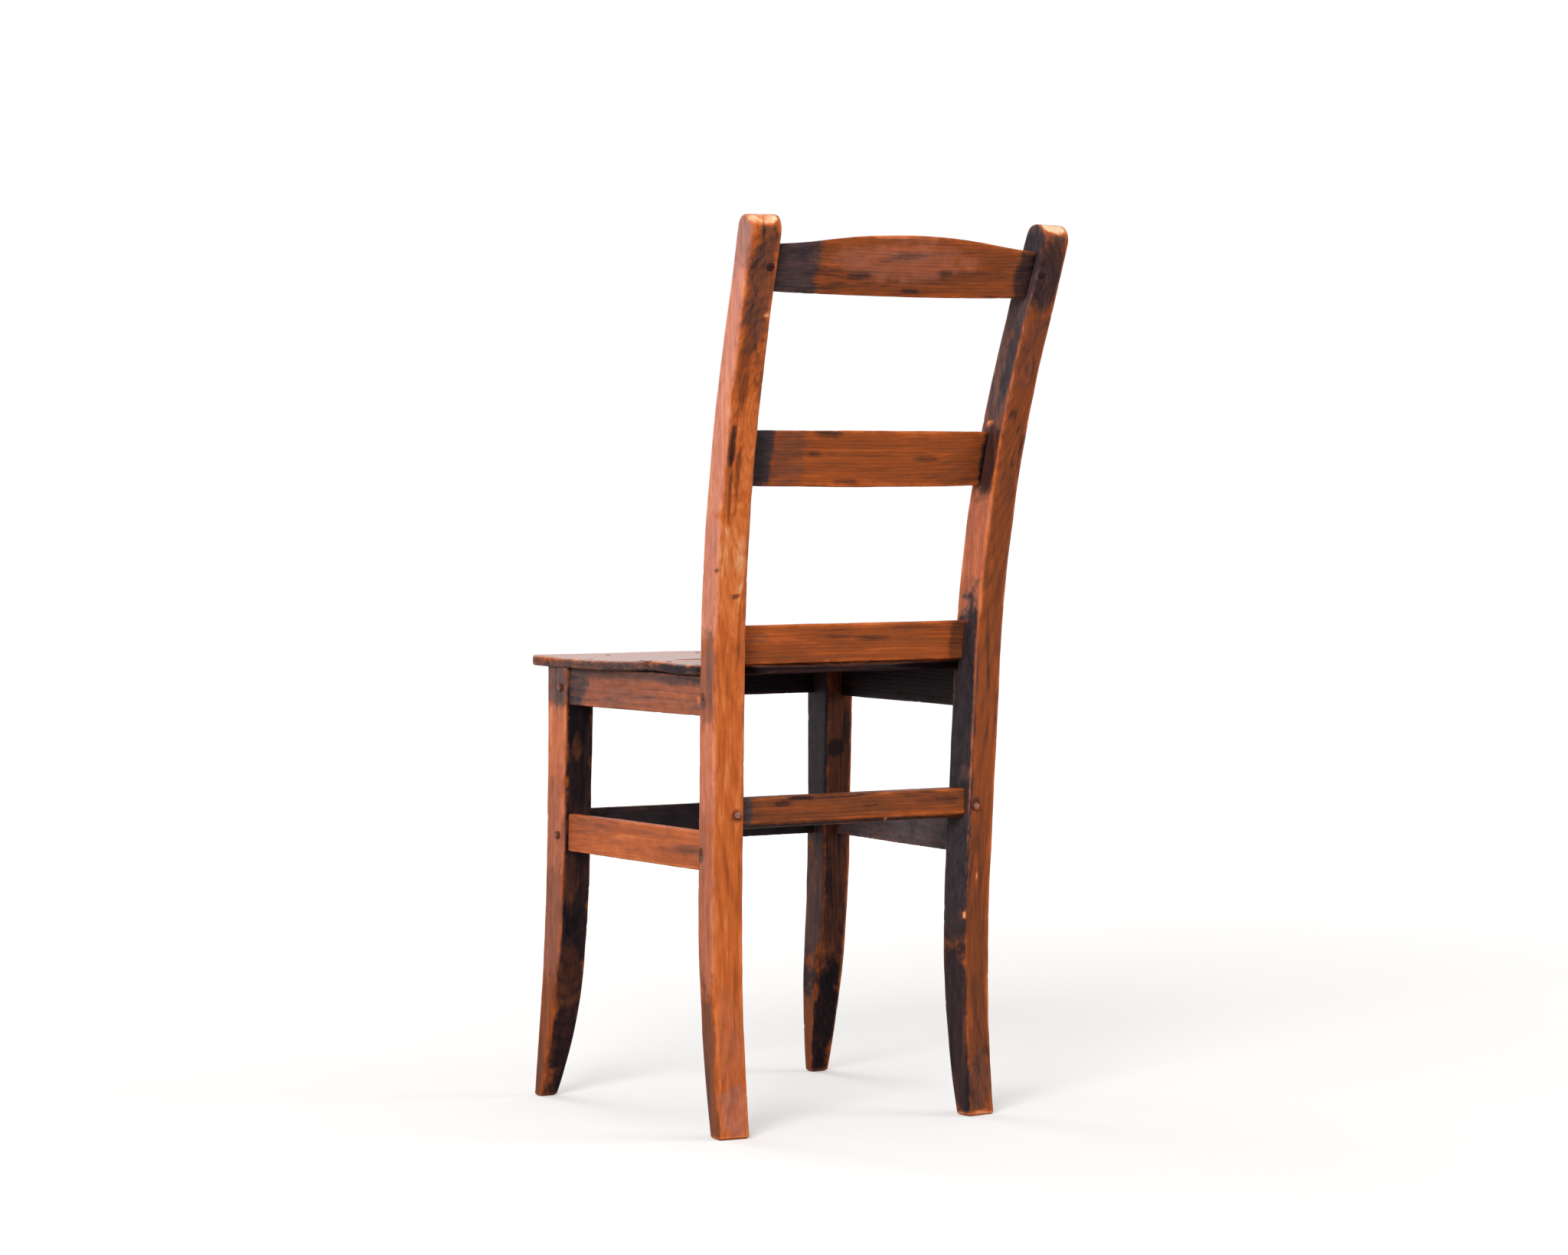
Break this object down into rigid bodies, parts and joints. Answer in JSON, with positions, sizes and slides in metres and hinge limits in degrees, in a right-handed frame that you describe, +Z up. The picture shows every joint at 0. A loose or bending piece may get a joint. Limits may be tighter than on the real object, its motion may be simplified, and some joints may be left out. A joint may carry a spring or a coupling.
{
  "type": "ladderback side chair",
  "caption": "Rustic wooden ladderback side chair: raked, curved back posts, arched crest rail, bowed slat, flat board seat on aprons, flared legs and pegged stretchers.",
  "frame": {"origin": "on the floor, under the middle of the chair's overall box", "axes": "+Z up, the front of the chair faces -Y, +X is the sitter's left"},
  "size_m": [0.3596, 0.4624, 0.8799],
  "materials": {
    "stained_wood": "worn stain and wax",
    "seat_wood": "worn satin",
    "peg_wood": "bare, waxed",
    "nail_iron": "dull"
  },
  "bodies": {
    "root": {"back_post_left": "stained_wood", "back_post_right": "stained_wood", "front_leg_left": "stained_wood", "front_leg_right": "stained_wood", "crest_rail": "stained_wood", "middle_slat": "stained_wood", "lower_back_rail": "stained_wood", "seat_board_front": "seat_wood", "seat_board_rear": "seat_wood", "front_apron": "stained_wood", "side_apron_left": "stained_wood", "side_apron_right": "stained_wood", "front_stretcher": "stained_wood", "back_stretcher": "stained_wood", "side_stretcher_left": "stained_wood", "side_stretcher_right": "stained_wood", "crest_pegs": "peg_wood", "back_stretcher_pegs": "peg_wood", "side_apron_pegs": "peg_wood", "side_stretcher_pegs": "peg_wood", "front_apron_pegs": "peg_wood", "front_stretcher_pegs": "peg_wood", "seat_nails": "nail_iron"}
  },
  "joints": []
}
